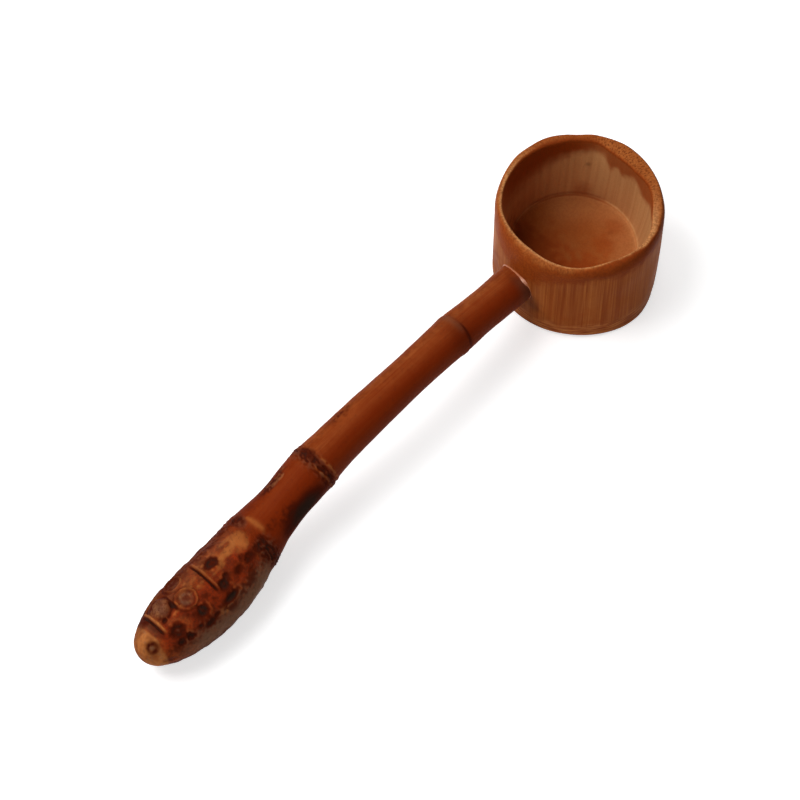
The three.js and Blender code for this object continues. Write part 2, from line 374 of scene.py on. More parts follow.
cup_places *= 1 + (rim_lumps * rim_share * lumps(cup_places, 7.0) / rim_radius)[:, None]
move_to(cup_mesh, cup_places)
cup_level = cup_places[:, 2]
rim_path = np.clip(cup_path - 2, 0, 1)
on_rim = smooth(cup_path, 1.98, 2.02) * smooth(cup_path, 3.02, 2.98)
on_outside = smooth(cup_path, 2.02, 1.98)
floor_level = floor_height - 0.8 * floor_dish
stain_and_shade, pale, maroon_and_shade, dirt_and_shade = np.zeros((4, len(cup_path)))


def round_cup(*places, passes=10):
    """A value for each of the cup's vertices, eased between (degrees from the handle, value) places."""
    return around(*places, passes=passes)[cup_step]


def spot(place, size):
    """A soft ragged spot on the cup's surface round a place, in millimetres."""
    reach = np.linalg.norm(cup_places - place, axis=1) / size
    return smooth(reach + 0.4 * cup_ragged, 1.4, 0.5)


# A brown stain runs down inside the rim in soft drips, and the floor has a few red blotches. The stain's
# colour is also painted shade on the left of the hollow and on the floor's near and left side.
stain_top = round_cup((0, 2.95), (125, 2.95), (145, 2.84), (205, 2.84), (225, 2.78), (250, 2.78), (285, 2.92))
stain_foot = round_cup(
    (0, 50), (98, 50), (108, 46.5), (120, 43), (130, 41), (140, 39.5), (148, 36.5), (153, 36), (158, 38),
    (163, 41), (167, 41.5), (172, 39), (180, 36.5), (185, 41), (188, 38), (193, 34.5), (197, 41), (203, 43),
    (217, 41), (235, 38.5), (245, 37), (258, 34), (280, 33), (300, 36), (330, 43), (345, 50), passes=2,
)
stain_depth = round_cup(
    (0, 0.5), (105, 0.8), (120, 0.95), (150, 0.85), (205, 0.8), (225, 1), (290, 1), (312, 0.7), (330, 0.5),
)
stain_fade = round_cup((0, 3), (110, 2.4), (200, 2.4), (222, 3), (250, 6), (300, 8), (340, 5))
on_inside = smooth(cup_path, stain_top - 0.07, stain_top + 0.07) * smooth(cup_path, 4.2, 4.1)
drips = on_inside * smooth(cup_level + 1.5 * cup_ragged, stain_foot - stain_fade, stain_foot + stain_fade)
shade(stain_and_shade, stain_depth * drips)
# Painted shade: the left of the hollow, which faces away from the key lamp, is darker from the rim to the
# floor
shade(stain_and_shade, 0.55 * on_inside * arc(cup_turn, 250, 360, 60))
shade(stain_and_shade, 0.5 * on_rim * arc(cup_turn, 205, 262, 16) * smooth(rim_path, 0.1, 0.6))
shade(stain_and_shade, 0.5 * on_inside * arc(cup_turn, 206, 221, 8) * smooth(cup_level + 2 * cup_ragged, 25, 15))
# Two small red blotches, then two big spots of painted shade where the near and left walls shade the floor
for across, aside, size, amount in (
    (-9.3, 5.8, 4.2, 0.6), (-18.2, 3.7, 4, 0.4), (10, 12, 15, 0.9), (16, -12, 16, 0.7),
):
    shade(stain_and_shade, amount * spot((across, aside, floor_level), size))

# Pale wood shows where the rim's inner edge is worn, and the floor is paler in a ring round its right
worn_width = round_cup(
    (0, 0.5), (20, 0.5), (45, 0.3), (75, 0.26), (90, 0.5), (115, 0.5), (135, 0.15), (200, 0.05), (260, 0.1),
    (290, 0.45), (310, 0.3), (335, 0.4),
)
worn_edge = round_cup((0, 0.8), (118, 0.7), (135, 0.15), (150, 0), (260, 0), (285, 0.5), (305, 0.75))
worn_from, worn_to = 0.98 - worn_width, 1.08 - 0.5 * worn_width
shade(pale, worn_edge * on_rim * smooth(rim_path + 0.1 * cup_ragged, worn_from, worn_to))
worn_top = round_cup(
    (0, 0.25), (20, 0.2), (35, 0.05), (65, 0), (85, 0.2), (105, 0.6), (125, 0.4), (150, 0), (230, 0),
    (290, 0.5),
)
shade(pale, worn_top * on_rim * smooth(rim_path, 0.5, 0.75))
floor_ring = smooth(cup_path, 3.94, 4.1) * smooth(cup_path + 0.02 * cup_ragged, 4.34, 4.26)
shade(pale, 0.5 * floor_ring * arc(cup_turn, 70, 175, 50))
shade(pale, 0.25 * floor_ring * arc(cup_turn, 180, 270, 40))

# Painted light: seen from the camera, the floor is paler on its right and far side, which the key lamp
# reaches past the walls, and the left of the outside has a pale painted sheen from the key lamp
picture_right = np.radians(132.3)
on_floor = smooth(cup_path, 4.15, 4.3)
floor_side = cup_places[:, 0] * math.cos(picture_right) + cup_places[:, 1] * math.sin(picture_right)
floor_away = cup_places[:, 1] * math.cos(picture_right) - cup_places[:, 0] * math.sin(picture_right)
shade(pale, 0.35 * on_floor * smooth(floor_side, 4, 26))
shade(pale, 0.3 * on_floor * smooth(floor_away, 8, 24) * smooth(floor_side, -16, -4))
shade(pale, 0.16 * on_outside * arc(cup_turn, 300, 352, 20))

# Dark red lacquer gathers in the drips and under the rim's rounding. The same dark red is painted shade on
# the left of the hollow and on the floor's left and near side, which the walls shade
shade(maroon_and_shade, 0.27 * drips * arc(cup_turn, 222, 310, 40))
shade(maroon_and_shade, 0.13 * on_inside * arc(cup_turn, 242, 335, 40))
shade(maroon_and_shade, 0.35 * spot((18, -16, floor_level), 15))
shade(maroon_and_shade, 0.22 * on_floor * smooth(floor_side, 14, -8) * smooth(floor_away, 22, 8))
shade(maroon_and_shade, 0.3 * on_rim * arc(cup_turn, 208, 262, 16) * smooth(rim_path, 0.5, 0.9))
shade(maroon_and_shade, 0.25 * on_rim * arc(cup_turn, 138, 212, 16) * smooth(rim_path, 0.8, 0.94))
band_low = round_cup((0, 1.75), (30, 1.94), (60, 1.95), (120, 1.96), (300, 1.95), (330, 1.92), (345, 1.85))
band_high = round_cup(
    (0, 2.3), (30, 2.2), (50, 2.6), (65, 2.8), (80, 2.75), (95, 2.65), (120, 2.4), (320, 2.5),
)
band = smooth(cup_path + 0.05 * cup_ragged, band_low - 0.04, band_low + 0.06)
band *= smooth(cup_path + 0.15 * cup_ragged, band_high + 0.2, band_high - 0.1)
band_depth = round_cup(
    (0, 0), (30, 0.1), (50, 0.3), (75, 0.42), (95, 0.58), (118, 0.7), (135, 0.65), (165, 0.4), (320, 0),
)
shade(maroon_and_shade, band * band_depth)
shade(stain_and_shade, 0.9 * band * arc(cup_turn, -45, 110, 30))

# Dirt lies in a few specks, and the floor's far corner is darker where it meets the wall. Painted shade
# darkens the wall just under the handle's joint
corner = smooth(cup_path, 3.96, 4.02) * smooth(cup_path, 4.3, 4.2)
shade(dirt_and_shade, 0.2 * corner * arc(cup_turn, 195, 295, 20))
shade(stain_and_shade, 0.5 * corner * arc(cup_turn, 190, 260, 20))
for *place, size, amount in (
    (-23, -14.9, 33, 1.2, 0.35), (-2.9, 33, 3, 1.2, 0.35), (-16.1, 4.3, floor_level, 1.2, 0.15),
    # Painted shade on the wall just under the handle's joint
    (33, 2.6, 14, 6.5, 0.35), (32.8, 5.0, 17.5, 4.5, 0.3),
):
    shade(dirt_and_shade, amount * spot(place, size))

# A painted reflection of the white floor greys the outside on the side away from the handle
floor_reflection = on_outside * round_cup(
    (0, 0.1), (20, 0), (60, 0), (80, 0.3), (100, 0.55), (180, 0.5), (300, 0.3), (320, 0),
)

# The cut ends of the fibres show as dots on the rim, most of all where it is widest
dotted = round_cup((0, 0.4), (130, 0.4), (160, 0.7), (205, 0.7), (235, 0.4))

# The cut and rounded wood of the rim is speckled, and the rest of the cup much less so
speckled = 0.2 + 0.8 * smooth(cup_path, band_low - 0.05, band_low + 0.05) * smooth(cup_path, 3.04, 2.96)
speckled += 0.2 * on_floor

inside_depth = 2 * cup_height + 8 - cup_level
rim_depth = cup_height + rim_radius - np.hypot(cup_places[:, 0], cup_places[:, 1])
cup_depth = np.select([cup_path < 2, cup_path < 3], [cup_level, rim_depth], inside_depth)
cup_angle = np.radians(cup_turn)
keep_masks(cup_mesh, {
    "floor_reflection": floor_reflection, "dotted": dotted, "stain_and_shade": stain_and_shade, "pale": pale, "maroon_and_shade": maroon_and_shade, "dirt_and_shade": dirt_and_shade,
    "speckled": speckled,
})
keep_places(cup_mesh, np.stack(
    [rim_radius * np.cos(cup_angle), rim_radius * np.sin(cup_angle), cup_depth], axis=1,
))

cup_bamboo, tree, shader = new_material("cup_bamboo")
place = add_node(tree, "TexCoord").outputs["Object"]
path = attribute(tree, "section")
height = add_node(tree, "SeparateXYZ", {0: place}).outputs["Z"]
grain = use_group(tree, fibres, attribute(tree, "culm_place", "Vector"))
age = use_group(tree, lacquer, place)
wall_dark, wall_mid, wall_pale = paint(138, 60, 20), paint(154, 76, 30), paint(198, 118, 56)
floor_reflection_grey, foot_brown = paint(140, 80, 44), paint(192, 116, 62)
rim_brown, rim_dot = paint(176, 98, 46), paint(98, 42, 14)
inside_tan, floor_brown = paint(204, 147, 94), paint(160, 90, 42)
stained, worn_pale_and_light = paint(152, 66, 20), paint(206, 142, 88)
deep_maroon, dirt_and_shade_brown = paint(92, 30, 8), paint(60, 22, 8)

turned_marks = clouds(tree, stretched(tree, place, 0.008, 0.0007), 1.0, 2.0)
foot = layered(tree, wall_dark, (foot_brown, ease(tree, turned_marks, 0.35, 0.65)))
foot_share = sums(tree, "ADD", height, sums(tree, "MULTIPLY", age["Mottles"], 0.002))
worn_and_light_layer = worn_pale_and_light, attribute(tree, "pale")
outside = layered(
    tree, wall_dark, (wall_mid, grain["Streaks"]), (wall_pale, grain["Threads"], 0.35),
    (wall_pale, grain["Lines"], 0.45), (wall_mid, age["Clouds"], 0.3),
    (foot, ease(tree, foot_share, 0.011, 0.0075)), (floor_reflection_grey, attribute(tree, "floor_reflection")), worn_and_light_layer,
)
rim = layered(
    tree, rim_brown, (wall_dark, age["Mottles"], 0.3), worn_and_light_layer,
    (rim_dot, grain["Dots"], attribute(tree, "dotted")),
)
inside = layered(tree, inside_tan, (wall_mid, grain["Streaks"], 0.22))
floor = layered(
    tree, floor_brown, (stained, age["Clouds"], 0.4), (wall_dark, age["Mottles"], 0.15), worn_and_light_layer,
)
colour = layered(
    tree, outside, (rim, ease(tree, path, 1.98, 2.02)), (inside, ease(tree, path, 2.97, 3.03)),
    (floor, ease(tree, path, 4.1, 4.2)), (stained, attribute(tree, "stain_and_shade")),
    (deep_maroon, attribute(tree, "maroon_and_shade")), (dirt_and_shade_brown, attribute(tree, "dirt_and_shade")),
    (rim_dot, age["Grit"], 0.32, attribute(tree, "speckled")),
)
relief = sums(tree, "ADD", grain["Streaks"], sums(tree, "MULTIPLY", grain["Threads"], 0.6))
bump = add_node(tree, "Bump", {"Height": relief, "Strength": 0.3, "Distance": 0.00012})
connect(tree, shader, {
    "Base Color": colour, "Roughness": ease(tree, age["Clouds"], 0, 1, 0.48, 0.6), "Normal": bump.outputs[0],
    "Specular IOR Level": 0.02,
})

cup = finished("ladle_cup", cup_mesh, cup_bamboo)
socket_height = 22.4
socket_offset = -3.4
socket_rise = math.radians(8.8)
socket_radius = 5.45
joint_out = math.sqrt(wall_radius(socket_height) ** 2 - socket_offset ** 2)
joint = np.array([joint_out, socket_offset, socket_height])
socket_axis = np.array([math.cos(socket_rise), 0, math.sin(socket_rise)])
socket_lift = np.array([-math.sin(socket_rise), 0, math.cos(socket_rise)])
socket_across = np.array([0.0, 1.0, 0.0])

drill = bmesh.new()
drill_turn = Vector(socket_axis).to_track_quat("Z", "Y").to_matrix().to_4x4()
bmesh.ops.create_cone(
    drill, cap_ends=True, segments=96, radius1=socket_radius, radius2=socket_radius, depth=24,
    matrix=Matrix.Translation(Vector(joint)) @ drill_turn,
)
drill_piece = finished("socket_drill", drill, cup_bamboo)
bore = cup.modifiers.new("socket", "BOOLEAN")
bore.object = drill_piece
bored = bpy.data.meshes.new_from_object(cup.evaluated_get(bpy.context.evaluated_depsgraph_get()))
cup.modifiers.clear()
cup.data = bored
bpy.data.objects.remove(drill_piece)
hand_over(cup, "cup")


# The handle is the foot of a thin culm with its trimmed root stock left on as the grip. It is heat-bent and
# lacquered red-brown. Its end is coped to the round cup wall and turned down to a tenon through the wall.
tenon_radius = 4.5
lumen_radius = 2.2
first_node = joint + 34 * socket_axis
second_node = np.array([first_node[0] + 79.4, -4.35, 25.5])
third_node = np.array([second_node[0] + 34.5, -3.1, 17.8])
line_points = np.array([
    joint, first_node, (first_node[0] + 41.8, -3.5, 29.6), second_node, third_node,
    (third_node[0] + 26.5, -0.8, 14.52), (third_node[0] + 63.6, -1.5, 13.0),
])
line_samples = 120


def smooth_line(points):
    """A smooth line through points of any dimension, in even shares of each stretch."""
    padded = np.vstack([2 * points[0] - points[1], points, 2 * points[-1] - points[-2]])
    share = np.linspace(0, 1, line_samples, endpoint=False)[:, None]
    stretches = []
    for before, start, end, after in zip(padded, padded[1:], padded[2:], padded[3:]):
        gap_in, gap, gap_out = (
            np.linalg.norm(b - a) ** 0.5 for a, b in ((before, start), (start, end), (end, after))
        )
        leave = ((start - before) / gap_in - (end - before) / (gap_in + gap) + (end - start) / gap) * gap
        arrive = ((end - start) / gap - (after - start) / (gap + gap_out) + (after - end) / gap_out) * gap
        bend = 2 * (start - end) + leave + arrive
        curve = share * leave + share ** 2 * (end - start - leave - bend) + share ** 3 * bend
        stretches.append(start + curve)
    return np.vstack([*stretches, points[-1:]])


line = smooth_line(line_points)
line_length = np.concatenate([[0], np.cumsum(np.linalg.norm(np.diff(line, axis=0), axis=1))])
line_tangent = np.gradient(line, line_length, axis=0)
line_tangent /= np.linalg.norm(line_tangent, axis=1)[:, None]
node_stations = line_length[::line_samples]
first_at, _, second_at, third_at, crown_at, tip_at = node_stations[1:]

girths = smooth_line(np.array([
    (0, 15.3), (10, 15.5), (22, 15.5), (first_at, 16.2), (48, 16.0), (62, 15.8), (88, 16.9), (105, 17.7),
    (second_at, 18.9), (123, 19.3), (131, 18.7), (141, 19.8), (third_at, 22.9), (160, 25.5), (crown_at, 28.4),
]))
tip_roundness = 2.25


def handle_radius(station):
    """Plain radius of the handle at a distance past the wall."""
    share = np.clip((station - crown_at) / (tip_at - crown_at), 0, 1)
    taper = (1 - share ** tip_roundness) ** (1 / tip_roundness)
    return np.interp(station, girths[:, 0], girths[:, 1]) / 2 * taper


def on_line(station, aside, lift):
    """The place at a station, offset across the handle's centre line."""
    centre = np.stack([np.interp(station, line_length, line[:, i]) for i in range(3)], axis=1)
    tangent = np.stack([np.interp(station, line_length, line_tangent[:, i]) for i in range(3)], axis=1)
    tangent /= np.linalg.norm(tangent, axis=1)[:, None]
    centre += tangent * np.minimum(station, 0)[:, None]
    across = np.cross((0, 0, 1), tangent)
    across /= np.linalg.norm(across, axis=1)[:, None]
    return centre + across * aside[:, None] + np.cross(tangent, across) * lift[:, None]


def by_socket(along, aside, lift):
    """The place at a distance from the joint along the socket's axis, offset across it."""
    return joint + np.outer(aside, socket_across) + np.outer(lift, socket_lift) + np.outer(along, socket_axis)


def wall_reach(aside, lift):
    """Distance from the joint along the socket's axis to the cup's outside, for a line beside the axis."""
    reach = np.zeros(len(aside))
    for _ in range(6):
        point = by_socket(reach, aside, lift)
        reach += (np.sqrt(wall_radius(point[:, 2]) ** 2 - point[:, 1] ** 2) - point[:, 0]) / socket_axis[0]
    return reach


def hollow_reach(aside, lift):
    """Distance from the joint along the socket's axis to the cup's hollow, for a line beside the axis."""
    reach = np.full(len(aside), -6.0)
    for _ in range(12):
        point = by_socket(reach, aside, lift)
        across = point[:, :2] - np.outer(1 - rise_at(point[:, 2]), floor_shift)
        turn = np.arctan2(across[:, 1], across[:, 0])
        step = np.rint(turn * cup_steps / (2 * math.pi)).astype(int) % cup_steps
        reach += hollow_radius(step, point[:, 2]) - np.linalg.norm(across, axis=1)
    return reach


def turned(outline, steps):
    """A surface lathed about a straight axis from (station, radius, mark) points, and its marks."""
    points = [(along, 0, out) for along, out, _ in outline]
    return spun(points, [mark for *_, mark in outline], (-1, 0, 0), steps, "stretch")


handle_steps = 200
lumen_depth = 28
inner_end = -5
shoulder_radius = 7.3
body_stations = np.concatenate([
    np.arange(0, 108, 0.8), np.arange(108, 122, 0.28), np.arange(122, 144, 0.6), np.arange(144, 205, 0.36),
    tip_at - (tip_at - 205) * np.linspace(1, 0, 40) ** 2,
])
LUMEN, TENON_END, TENON, SHOULDER, BODY = range(5)
tenon_outline = [
    (lumen_depth, 0, LUMEN), (lumen_depth, lumen_radius, LUMEN), (10, lumen_radius, LUMEN),
    (inner_end, lumen_radius, TENON_END), (inner_end, tenon_radius, TENON_END), (-1, tenon_radius, TENON),
    (0, tenon_radius, SHOULDER), (0, tenon_radius + 1.2, SHOULDER), (0, shoulder_radius, SHOULDER),
]
body_outline = [(station, handle_radius(station), BODY) for station in body_stations]
handle_mesh, handle_marks = turned(tenon_outline + body_outline, handle_steps)
straight = positions(handle_mesh)
station = straight[:, 0].copy()
turn = np.degrees(np.arctan2(straight[:, 1], straight[:, 2]))
plain_radius = np.hypot(straight[:, 1], straight[:, 2])
on_body = handle_marks == BODY
coarse = lumps(straight, 5.0)
fine = lumps(straight + 40, 1.6)
wisps = lumps(straight * (1, 0.55, 0.55) + 80, 0.85)
swell, dark, deep_and_shade, red, tan, grey = np.zeros((6, len(station)))


def gap_from(place_station, place_turn):
    """Distances along and around the handle's surface from a place on it, in millimetres."""
    around_gap = (turn - place_turn + 180) % 360 - 180
    return station - place_station, np.radians(around_gap) * np.maximum(plain_radius, 3)


def patch(place_station, place_turn, length, width, ragged=0.4, softness=0.9):
    """A soft patch on the handle's surface: 1 in its middle and 0 outside, with a ragged edge."""
    along, beside = gap_from(place_station, place_turn)
    reach = np.hypot(along / length, beside / width) + ragged * (coarse + 0.6 * fine)
    return smooth(reach, 0.95 + softness / 2, 0.95 - softness / 2)


def hump(value, middle, width):
    """1 where a value is at its middle, and falling off to both sides."""
    return np.exp(-(((value - middle) / width) ** 2))


def ridge(place_station, width, ragged=0.0, bow=0.0):
    """A ring round the handle: 1 on its line, which can be bowed and uneven, in millimetres."""
    line_at = place_station + bow * np.sin(np.radians(turn)) + ragged * coarse
    return hump(station, line_at, width)


def joint_flare(along, turns):
    """Extra radius where the handle thickens towards the cup on one side."""
    return (0.6 * smooth(along, 16, 2) + 0.3 * smooth(along, 60, 40)) * arc(turns, -135, -45, 60)


# First node: a low swelling, grey on top, with a thin dark sheath line and a dark blotch past it
swell += 0.34 * ridge(first_at + 3.2, 2.8, bow=0.4) - 0.25 * ridge(first_at + 1.6, 0.6, bow=0.4)
shade(dark, 0.06 * smooth(station, 46, 40) * arc(turn, -50, 20, 20))
shade(grey, 0.32 * ridge(first_at + 3.4, 1.3, 0.5) * arc(turn, -50, 30, 30))
shade(dark, 0.6 * ridge(first_at + 2, 0.5, 0.4, 0.4) * (0.2 + 0.8 * arc(turn, 20, 110, 40)))
shade(dark, 0.2 * patch(first_at + 5, 45, 6, 6, 0.3, 2))
shade(dark, 0.1 * ridge(first_at + 4, 6, 1.0))

# Second node: a collar of torn sheath, darkest on top
torn_edge = wisps + 0.4 * fine
collar = ridge(second_at + 1.8, 2.7, 0.8)
swell += collar * (0.3 + 0.5 * torn_edge)
shade(grey, 0.45 * collar * smooth(torn_edge, 0.0, 0.3))
shade(dark, collar * (0.35 + 0.35 * smooth(torn_edge, 0.15, -0.3)))
shade(dark, 0.4 * patch(second_at + 0.4, -16, 2.4, 4.0))
shade(dark, 0.12 * ridge(second_at + 2, 5, 1.5) * arc(turn, 8, 80, 20))
for lip_station in (second_at - 0.9, second_at + 3.2):
    lip = ridge(lip_station, 0.6, 0.5, -0.5) * arc(turn, 14, 140, 20)
    swell += 0.2 * lip
    dark *= 1 - 0.5 * lip
    shade(tan, 0.4 * lip * smooth(torn_edge, -0.4, 0.1))

# Third node: a tan ridge on top, and a dark torn band down its side
swell += 0.3 * ridge(third_at - 1.4, 1.3, 0.5) * arc(turn, -40, 40, 40)
torn = ridge(third_at + 3.2, 3.6, 0.8)
swell += torn * (0.1 + 0.5 * torn_edge)
shade(tan, 0.45 * ridge(third_at - 1.7, 1.3, 0.6) * arc(turn + 8 * fine, -18, 22, 20))
shade(grey, 0.7 * torn * arc(turn, 25, 215) * smooth(torn_edge, -0.1, 0.25))
shade(dark, torn * arc(turn, 22, 215, 14) * (0.45 + 0.45 * smooth(torn_edge, 0.2, -0.25)))
shade(dark, 0.5 * patch(third_at + 1.4, -34, 2.8, 4.2) * (0.9 + fine))
shade(grey, 0.35 * patch(third_at + 1.4, -34, 2.8, 4.2))

# Burnt stain along the short joint, and smaller marks on the skin
shade(deep_and_shade, 0.7 * smooth(station, 112, 122))
# Painted shade: the side away from the key lamp is a deeper red all along the handle
shade(deep_and_shade, 0.85 * smooth(turn, -10, 32) * smooth(turn, 175, 120))
shade(dark, 0.95 * patch(130, 75, 11, 4.9, 0.15, 1.5))
shade(dark, 0.15 * patch(141, 78, 9, 5.2, 0.2, 1.5))
shade(grey, 0.35 * smooth(station, 116, 124) * smooth(station, 156, 148) * arc(turn, 96, 130, 20))
broken = 0.35 + 0.65 * smooth(torn_edge, 0.25, -0.2)
for *mark, amount in (
    (92.5, -38, 3.0, 1.8, 0.25), (95.5, -22, 3.2, 1.8, 0.2), (97.5, -40, 2.6, 1.5, 0.2),
    (89, -30, 2.0, 1.2, 0.15), (131, -50, 5.4, 3.4, 0.3), (134.5, -42, 3.0, 2.2, 0.24),
    (127, -44, 2.6, 2.0, 0.22), (143, 34, 3.4, 2.2, 0.24), (138.5, 42, 3.0, 2.0, 0.24),
    (146, 26, 2.0, 1.6, 0.2), (134, 30, 2.2, 1.4, 0.16), (141, 20, 1.6, 1.2, 0.16),
):
    shade(dark, amount * patch(*mark, 0.8, 1.4) * broken)
shade(dark, 0.1 * smooth(station, 18, 6) * smooth(turn, -40, 0) * (0.9 + coarse))
shade(tan, 0.12 * ridge(22, 8, 2.0) * arc(turn, -80, -20, 30))
shade(dark, 0.12 * ridge(95, 9, 3.0) * arc(turn, -80, -24, 24) * (0.9 + coarse))
# Painted shade darkens the handle's end against the cup wall, away from the key lamp, and it is greyer there
joint_end = smooth(station, 8, 1) * arc(turn + 12 * coarse, 15, 105, 40)
shade(dark, 0.22 * joint_end)
shade(grey, 0.45 * joint_end)
for place in ((132.5, -52), (130.5, -44), (128, -38), (127, -27), (130.2, -30), (132.2, -36), (125, -42)):
    scratch = patch(*place, 1.6, 0.8, 0.9)
    shade(tan, 0.35 * scratch * smooth(torn_edge, -0.2, 0.2))
    shade(grey, 0.3 * scratch)

# Root stock: dark red along its side, pale worn patches on top, and grey below
on_root = smooth(station, 152, 160) * smooth(station, 210, 203)
busy = on_root * arc(turn, 14, 70, 24)
shade(red, 0.8 * on_root * arc(turn + 8 * coarse, 2, 52, 16))
shade(dark, busy * (0.08 + 0.34 * smooth(coarse + 0.7 * fine, -0.1, 0.4)))
shade(dark, 0.11 * ridge(181, 13))
shade(dark, (0.22 * smooth(station, 118, 126) + 0.1 * on_root) * arc(turn + 8 * coarse, -115, -30, 20))
shade(grey, on_root * (0.05 + 0.16 * arc(turn, -115, -15, 30)))
# Painted reflection of the white floor greys the lower side of the handle's joints
shade(grey, 0.12 * smooth(station, 152, 140) * arc(turn, 62, 120, 30))
for *mark, amount in (
    (158, -3, 3.4, 3.0, 0.5), (161.5, -3, 3.4, 2.0, 0.4), (165, -5, 3.2, 1.8, 0.5),
    (168.4, -3, 2.2, 1.2, 0.5), (161.5, -20, 3.2, 0.9, 0.3), (159, 10, 3.2, 1.6, 0.25),
    (171.5, 6, 4, 0.8, 0.25), (179.8, 57, 2.4, 1.7, 0.6), (196, -55, 3.2, 1.8, 0.45),
    (199.5, -18, 0.9, 0.9, 0.5), (158, 120, 5, 4, 0.5), (172, 190, 7, 4, 0.5), (186, 250, 5, 4, 0.5),
):
    shade(tan, amount * patch(*mark, 0.5))
flank = smooth(station, 151, 160) * smooth(station, 208, 190)
shade(grey, 0.8 * flank * arc(turn + 14 * torn_edge, 59, 118, 36))
upper_left = smooth(station, 150, 156) * smooth(station, 180, 170) * arc(turn, -75, -28, 16)
shade(dark, 0.28 * upper_left * smooth(coarse + fine + 0.5 * wisps, -0.15, 0.35))
shade(dark, 0.35 * smooth(station, 153, 165) * smooth(station, 212, 204) * arc(turn + 9 * fine, 96, 130, 14))


def root_ring(place_station, place_turn, size):
    """A cut root that healed with a raised lip round a shallow dish."""
    along, beside = gap_from(place_station, place_turn)
    reach = np.hypot(along, beside) / size + 0.07 * fine
    lit_side = np.clip(0.5 - 0.35 * along / size + 0.35 * beside / size, 0, 1)
    swell[:] += 0.42 * hump(reach, 0.95, 0.09) - 0.4 * np.exp(-((reach / 0.78) ** 4))
    swell[:] += 0.22 * np.exp(-((reach / 0.45) ** 4)) - 0.3 * hump(reach, 1.2, 0.1)
    tan[:] *= smooth(reach, 0.7, 1.0)
    shade(tan, 0.4 * lit_side * hump(reach, 0.95, 0.07))
    shade(dark, 0.22 * hump(reach, 0.75, 0.1))
    shade(dark, 0.4 * (1 - lit_side) * hump(reach, 1.14, 0.12))
    shade(grey, 0.6 * smooth(reach, 0.8, 0.45) * (0.8 + 0.6 * fine))
    shade(dark, smooth(reach, 0.85, 0.6) * (0.12 + 0.2 * smooth(reach, 0.45, 0.2) - 0.2 * wisps))


def root_stub(place_station, place_turn, length, width):
    """A cut root that stands proud, with a pale spot on it and painted shadow in the corner round it."""
    along, beside = gap_from(place_station, place_turn)
    reach = np.hypot(along / length, beside / width) + 0.18 * coarse + 0.08 * fine
    swell[:] += 0.9 * smooth(reach, 1.05, 0.6) * (1 + 0.6 * fine) - 0.4 * hump(reach, 1.15, 0.14)
    shade(grey, 0.5 * smooth(reach, 1.15, 0.6) * (0.9 + 0.5 * coarse))
    shade(tan, 0.4 * smooth(np.hypot(along - 1.2, beside + 1.4) / width, 0.6, 0.1) * (0.9 + fine))
    shade(dark, smooth(reach, 1.2, 0.7) * (0.1 + 0.2 * smooth(fine + 0.5 * coarse, 0.1, -0.5)))
    shade(dark, 0.3 * smooth(reach, 1.1, 0.8) * smooth(np.abs(wisps + 0.5 * fine), 0.1, 0.0))
    # Painted shadow round the stub, deepest on the side away from the key lamp
    shade(dark, 0.6 * hump(reach, 1.1, 0.15) * smooth(coarse - 0.4 * beside / width, 0.4, -0.4))


def root_pit(place_station, place_turn, length, width, depth=0.45, stained=0.85, core=0.0, ragged=0.28):
    """A cut root that sank in, dark inside with a broken pale halo, and a paler core in some."""
    along, beside = gap_from(place_station, place_turn)
    reach = np.hypot(along / length, beside / width) + ragged * (fine + coarse + 0.6 * wisps)
    middle = smooth(np.hypot(along / length, beside / width), 0.55, 0.15)
    lip = hump(reach, 1.35, 0.25)
    swell[:] += 1.4 * depth * (0.3 * lip - smooth(reach, 1.1, 0.3) + 0.8 * core * middle)
    shade(dark, 0.3 * stained * smooth(reach, 2.4, 1.0))
    halo = 2 * depth * hump(reach, 1.5, 0.4)
    lit_side = smooth(coarse + fine - 0.4 * along / length, -0.2, 0.6)
    dark[:] *= 1 - halo * lit_side
    shade(tan, 0.22 * halo * lit_side)
    shade(dark, stained * smooth(reach, 1.3, 0.55) * (0.85 + 0.5 * fine + 0.35 * wisps))
    dark[:] *= 1 - 0.6 * core * middle
    shade(grey, core * middle)


root_ring(188.3, 1, 4.3)
root_ring(187, -40, 4.0)
root_stub(197.3, -26, 3.9, 5.4)
for pit in (
    (171.2, -11, 3.1, 2.4, 0.45, 0.85, 0.4, 0.36), (174.4, 27, 2.0, 2.1, 0.45, 0.85, 0.4),
    (171.8, 20, 1.4, 1.2, 0.3, 0.6), (175.6, 49, 3.3, 1.4, 0.4, 0.9), (187, 33, 2.1, 2.1, 0.4, 0.9, 0.4),
    (198.6, 31, 3.0, 2.8, 0.4, 0.6, 0.5), (160.2, 32, 2.6, 1.7, 0.3, 0.55), (166.5, 30, 2.0, 1.5, 0.15, 0.4),
    (187.3, 57, 2.2, 1.2, 0.3, 0.75, 0, 0.5), (196, 55, 1.6, 1.2, 0.3, 0.8, 0, 0.6),
    (191, 50, 1.1, 0.8, 0.2, 0.6), (200, 54, 1.5, 1.3, 0.25, 0.7, 0, 0.6),
    (196.6, 47, 1.2, 0.9, 0.2, 0.5, 0, 0.6), (183.5, 53, 1.2, 0.8, 0.2, 0.5),
    (209, 24, 2.3, 3.0, 0.35, 0.48, 0.8, 0.12), (193.6, -7, 0.9, 1.8, 0.4, 0.75),
    (199.8, 2, 1.0, 1.0, 0.3, 0.6), (206, 82, 2.6, 1.4, 0.2, 0.25), (162, 20, 1.4, 1.0, 0.15, 0.3),
    (155.5, 34, 2.0, 1.6, 0.2, 0.4),
):
    root_pit(*pit)

